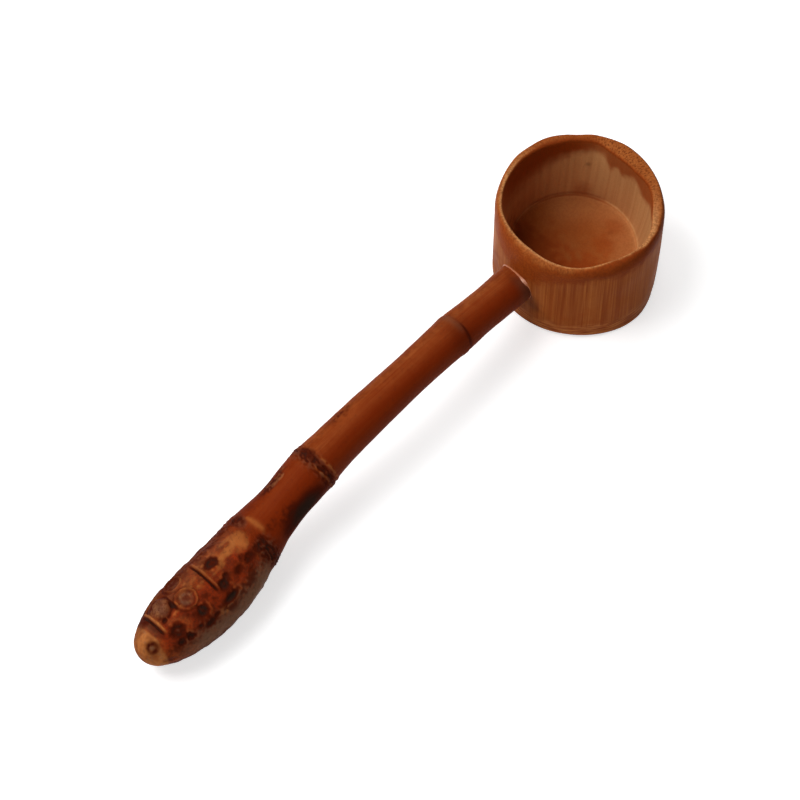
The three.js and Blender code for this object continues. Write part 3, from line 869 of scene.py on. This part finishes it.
# The hidden sides have scattered pits and nicks, and the upper left has pale flecks
scatter = np.random.default_rng(11)
for row, row_station in enumerate((160, 169, 178, 187, 196)):
    for column in range(4):
        place_turn = 125 + 38 * column + 15 * (row % 2) + scatter.uniform(-8, 8)
        size = scatter.uniform(1.6, 3.0)
        root_pit(row_station + scatter.uniform(-2, 2), place_turn, size, size * scatter.uniform(0.7, 1.1))
for _ in range(120):
    size = scatter.uniform(0.4, 1.0)
    mark = patch(scatter.uniform(153, 207), scatter.uniform(110, 300), size * 2, size, 0.7)
    swell -= 0.12 * mark
    shade(dark, scatter.uniform(0.1, 0.45) * mark)
    fleck = patch(scatter.uniform(168, 205), scatter.uniform(-60, 10), 1.4 * size, size, 0.7)
    swell += 0.1 * fleck
    shade(tan, scatter.uniform(0.1, 0.35) * fleck)

# Two close joints of the root stock: a pale lip with a dark groove past it, then the rounded pale end
for lip_station, first_turn, last_turn, bow, worn in (
    (176.5, -34, 26, 0.8, 0.38), (202.0, -52, 18, 0.2, 0.85),
):
    joint_reach = arc(turn, first_turn, last_turn, 14)
    lip = joint_reach * ridge(lip_station, 0.55, 0.15, bow)
    swell += 0.6 * lip - 0.8 * joint_reach * ridge(lip_station + 1.1, 0.5, 0.15, bow)
    dark *= 1 - 0.8 * lip
    shade(tan, worn * joint_reach * ridge(lip_station, 0.5, 0.15, bow) * (0.85 + 0.5 * fine))
    shade(dark, 0.9 * joint_reach * ridge(lip_station + 1.1, 0.4, 0.15, bow))
shade(grey, 0.5 * ridge(204.2, 1.4, 0.3) * arc(turn, -64, 10, 24))
shade(dark, 0.42 * ridge(204.2, 1.4, 0.3) * arc(turn, -64, 14, 30))
end_edge = 205.8 + 0.6 * smooth(turn, 10, 40) + 0.6 * coarse
pale_end = smooth(station, end_edge, end_edge + 1.2) * arc(turn, -110, 112, 30) * (1 - 0.7 * dark)
shade(tan, pale_end * (1.0 + 0.5 * coarse + 0.6 * fine))
shade(grey, pale_end * (0.15 + 0.3 * smooth(wisps, 0.1, 0.5)))

# The root stock is rough and mottled all over, and the rest of the handle only along its upper left
rough = smooth(station, 145, 160)
shade(rough, 0.4 * arc(turn, -120, -20, 30))
root_share = np.clip((station - 145) / 12, 0, 1)
swell += 0.1 * coarse + root_share * (0.3 * coarse + 0.13 * fine)
swell *= np.clip((tip_at - station) / 3, 0, 1) * np.clip(station / 4, 0, 1)
swell += joint_flare(station, turn)
swell += 0.5 * ridge(142, 5) * arc(turn, -120, -50, 40) + 0.6 * ridge(166, 9) * arc(turn, 70, 130, 40)
swell += 0.5 * ridge(195, 5) * arc(turn, -110, -55, 40)
swell *= on_body

radius = plain_radius + swell
aside = radius * np.sin(np.radians(turn))
lift = radius * np.cos(np.radians(turn))
to_wall = wall_reach(aside, lift)
cope = to_wall * np.clip(1 - station / 9, 0, 1) ** 2
bent_station = np.where(on_body, station + np.where(station < 9, cope, 0), station)
bent_station = np.where(handle_marks == SHOULDER, to_wall + 0.05, bent_station)
bent_station = np.where(handle_marks == TENON_END, hollow_reach(aside, lift), bent_station)
handle_places = on_line(bent_station, aside, lift)
table_gap = 0.02
handle_places[:, 2] = np.maximum(handle_places[:, 2], table_gap)
move_to(handle_mesh, handle_places)
keep_masks(handle_mesh, {"deep_and_shade": deep_and_shade, "rough": rough, "red": red, "dark": dark, "tan": tan, "grey": grey})
keep_places(handle_mesh, np.stack([aside, lift, station], axis=1))

handle_bamboo, tree, shader = new_material("handle_bamboo")
place = attribute(tree, "culm_place", "Vector")
grain = use_group(tree, fibres, place)
age = use_group(tree, lacquer, place)
skin_deep, skin_brown = paint(118, 36, 7), paint(129, 52, 17)
skin_red, skin_warm = paint(140, 62, 24), paint(158, 84, 40)
root_orange, root_red = paint(142, 56, 17), paint(146, 42, 9)
worn_tan, root_grey_and_reflection = paint(190, 112, 54), paint(120, 88, 66)
burnt_red_and_shade, burnt_and_shade = paint(72, 21, 7), paint(44, 29, 22)
rough_share = attribute(tree, "rough")
darkness = attribute(tree, "dark")
skin = layered(
    tree, skin_brown, (skin_red, age["Clouds"]), (skin_warm, grain["Streaks"], 0.35),
    (skin_warm, grain["Threads"], 0.2), (skin_deep, age["Mottles"], 0.26), (skin_deep, grain["Lines"], 0.3),
    (skin_deep, attribute(tree, "deep_and_shade")), (root_orange, ease(tree, rough_share, 0.5, 1.0)),
    (root_red, attribute(tree, "red")), (burnt_red_and_shade, age["Mottles"], 0.5, rough_share),
    (burnt_and_shade, age["Grit"], 0.25, rough_share), (worn_tan, attribute(tree, "tan")),
    (root_grey_and_reflection, attribute(tree, "grey")), (burnt_and_shade, age["Specks"], ease(tree, rough_share, 0, 1, 0.12, 0.3)),
    (burnt_red_and_shade, ease(tree, darkness, 0.0, 0.6)), (burnt_and_shade, ease(tree, darkness, 0.5, 1.0)),
)
gloss = sums(tree, "ADD", ease(tree, age["Clouds"], 0, 1, 0.4, 0.52), sums(tree, "MULTIPLY", darkness, 0.2))
pitting = sums(tree, "ADD", age["Mottles"], age["Grit"])
unevenness = sums(tree, "MULTIPLY", pitting, ease(tree, rough_share, 0, 1, 0.1, 2.0))
relief = sums(tree, "ADD", grain["Threads"], unevenness)
bump = add_node(tree, "Bump", {"Height": relief, "Strength": 0.25, "Distance": 0.0001})
connect(tree, shader, {
    "Base Color": skin, "Roughness": gloss, "Normal": bump.outputs[0], "Specular IOR Level": 0.01,
})
handle = finished("ladle_handle", handle_mesh, handle_bamboo, math.radians(60))
hand_over(handle, "handle")


# The tenon plug is a short bamboo peg in the handle's narrow natural lumen. It is driven in from inside the
# cup and pared off flush with the hollow, so that no water gets into the handle.
plug_radius = 1.95
plug_length = 7.8
plug_chamfer = 0.4
PLUG_END, PLUG_SIDE = range(2)
plug_outline = [
    (inner_end, 0, PLUG_END), (inner_end, 1, PLUG_END), (inner_end, plug_radius, PLUG_END),
    (-1, plug_radius, PLUG_SIDE), (plug_length - plug_chamfer, plug_radius, PLUG_SIDE),
    (plug_length, plug_radius - plug_chamfer, PLUG_SIDE), (plug_length, 0, PLUG_SIDE),
]
plug_mesh, plug_marks = turned(plug_outline, 48)
plug_straight = positions(plug_mesh)
flush = hollow_reach(plug_straight[:, 1], plug_straight[:, 2])
plug_along = np.where(plug_marks == PLUG_END, flush, plug_straight[:, 0])
move_to(plug_mesh, on_line(plug_along, plug_straight[:, 1], plug_straight[:, 2]))

plug_bamboo, tree, shader = new_material("plug_bamboo")
place = add_node(tree, "TexCoord").outputs["Object"]
dots = add_node(tree, "TexVoronoi", {"Vector": place, "Scale": 1600.0}).outputs["Distance"]
end_grain = layered(tree, paint(178, 112, 62), (paint(104, 52, 22), ease(tree, dots, 0.45, 0.15)))
connect(tree, shader, {"Base Color": end_grain, "Roughness": 0.6, "Specular IOR Level": 0.2})
plug = finished("ladle_plug", plug_mesh, plug_bamboo)
hand_over(plug, "tenon_plug")


# The glue film is the thin sleeve of cured glue between the tenon and the socket. It fills the gap through
# the whole thickness of the cup's wall, and its inner end shows round the tenon inside the cup.
film_inner = 4.55
film_outer = 5.38
FILM_IN, FILM_OUT = range(2)
film_outline = [
    (inner_end, film_inner, FILM_IN), (inner_end, film_outer, FILM_IN), (0, film_outer, FILM_OUT),
    (0, film_inner, FILM_OUT), (inner_end, film_inner, FILM_IN),
]
film_mesh, film_marks = turned(film_outline, 64)
film_straight = positions(film_mesh)
film_sides = film_straight[:, 1], film_straight[:, 2]
film_along = np.where(film_marks == FILM_IN, hollow_reach(*film_sides) + 0.1, wall_reach(*film_sides) - 0.05)
move_to(film_mesh, on_line(film_along, *film_sides))

cured_glue, tree, shader = new_material("cured_glue")
place = add_node(tree, "TexCoord").outputs["Object"]
age = use_group(tree, lacquer, place)
glue = layered(
    tree, paint(196, 128, 98), (paint(222, 168, 142), age["Mottles"]),
    (paint(172, 98, 56), attribute(tree, "lacquered")),
)
connect(tree, shader, {"Base Color": glue, "Roughness": 0.45, "Specular IOR Level": 0.3})
film = finished("ladle_glue_film", film_mesh, cured_glue)
hand_over(film, "glue_film")


# The glue bead is the glue squeezed out into the corner between the handle and the cup. It was wiped to an
# uneven fillet that is thickest on the upper right, and the lacquer went over the thin rest of it.
bead_ring = 8
bead_section = ((1.0, -0.03), (0.8, 0.12), (0.45, 0.36), (0.14, 0.75), (-0.03, 1.0), (-0.03, -0.03))
bead_outline = [(along, bead_ring + out, mark) for mark, (along, out) in enumerate(bead_section)]
bead_mesh, bead_marks = turned(bead_outline + bead_outline[:1], 160)
bead_straight = positions(bead_mesh)
bead_turn = np.degrees(np.arctan2(bead_straight[:, 1], bead_straight[:, 2]))
bead_width = np.interp(
    bead_turn, (0, 12, 20, 32, 42, 52, 62, 90, 115, 130, 180, 270, 320),
    (0.6, 0.65, 0.85, 1.1, 0.85, 0.4, 0.12, 0.1, 0.12, 0.15, 0.2, 0.3, 0.55), period=360,
)
bead_width *= 1 + 0.3 * lumps(bead_straight * (0, 1, 1), 2.0)
bead_shares = np.array(bead_section)[np.rint(bead_marks).astype(int)]
bead_foot = handle_radius(0) + joint_flare(0, bead_turn)
bead_out = bead_foot + bead_shares[:, 1] * bead_width
bead_aside = bead_out * np.sin(np.radians(bead_turn))
bead_lift = bead_out * np.cos(np.radians(bead_turn))
bead_along = wall_reach(bead_aside, bead_lift) + bead_shares[:, 0] * bead_width
move_to(bead_mesh, on_line(bead_along, bead_aside, bead_lift))
keep_masks(bead_mesh, {"lacquered": smooth(bead_width, 0.95, 0.65)})
bead = finished("ladle_glue_bead", bead_mesh, cured_glue)
hand_over(bead, "glue_bead")


# The camera looks down at the ladle with a long lens.
camera_turn = picture_right
camera_rise = math.radians(59.35)
camera_distance = 1.1727
aim = Vector((-0.01264, -0.01035, 0))
towards_camera = Vector((
    math.sin(camera_turn) * math.cos(camera_rise), -math.cos(camera_turn) * math.cos(camera_rise),
    math.sin(camera_rise),
))
def pointed(name, data, place, facing):
    """A camera or lamp put into the scene at a place, facing in a direction."""
    made = bpy.data.objects.new(name, data)
    made.location = place
    made.rotation_mode = "QUATERNION"
    made.rotation_quaternion = facing.to_track_quat("-Z", "Y")
    bpy.context.scene.collection.objects.link(made)
    return made


camera_data = bpy.data.cameras.new("camera")
camera_data.lens = 135
camera_data.sensor_width = 36
camera_place = aim + towards_camera * camera_distance
bpy.context.scene.camera = pointed("camera", camera_data, camera_place, -towards_camera)


# Plain soft studio light comes from a wide lamp high on the left, weak lamps behind and in front, and weakly
# from all round. The floor is white and keeps the ladle's shadow.
studio_light = 0.17
floor_glow = 0.6
floor_reach = 3
picture_left = Vector((-math.cos(camera_turn), -math.sin(camera_turn), 0))
picture_away = Vector((-math.sin(camera_turn), math.cos(camera_turn), 0))


def lamp(name, place, size, power):
    """A square soft lamp that faces the ladle."""
    data = bpy.data.lights.new(name, "AREA")
    data.size = size
    data.energy = power
    pointed(name, data, place, aim - place)


lamp("key_lamp", picture_left * 0.55 + picture_away * 0.06 + Vector((0, 0, 1.0)), 0.75, 10)
lamp("back_lamp", picture_away * 0.8 + Vector((0, 0, 0.8)), 0.7, 2.3)
lamp("front_lamp", picture_away * -0.8 + Vector((0, 0, 0.8)), 0.7, 1.3)
world = bpy.data.worlds.new("studio")
world.use_nodes = True
bpy.context.scene.world = world
background = world.node_tree.nodes["Background"]
pure_white = (1, 1, 1, 1)


def looked_at(tree):
    """1 for rays from the camera, a reflection or glass, and 0 for those that only carry light."""
    rays = add_node(tree, "LightPath").outputs
    mirrored = sums(tree, "MAXIMUM", rays["Is Glossy Ray"], rays["Is Transmission Ray"])
    return sums(tree, "MAXIMUM", rays["Is Camera Ray"], mirrored)


world_light = ease(world.node_tree, looked_at(world.node_tree), 0, 1, studio_light, 1.0)
connect(world.node_tree, background, {"Color": pure_white, "Strength": world_light})

floor_mesh = bmesh.new()
bmesh.ops.create_circle(floor_mesh, cap_ends=True, segments=64, radius=floor_reach)
floor_data = bpy.data.meshes.new("floor")
floor_mesh.to_mesh(floor_data)
floor_mesh.free()
floor_object = bpy.data.objects.new("floor", floor_data)
bpy.context.scene.collection.objects.link(floor_object)
floor_white, tree, shader = new_material("floor_white")
connect(tree, shader, {
    "Base Color": (0.8, 0.8, 0.8, 1), "Roughness": 1, "Specular IOR Level": 0, "Emission Color": pure_white,
    "Emission Strength": sums(tree, "MULTIPLY", looked_at(tree), floor_glow),
})
floor_data.materials.append(floor_white)

bpy.context.scene.view_settings.view_transform = "Standard"
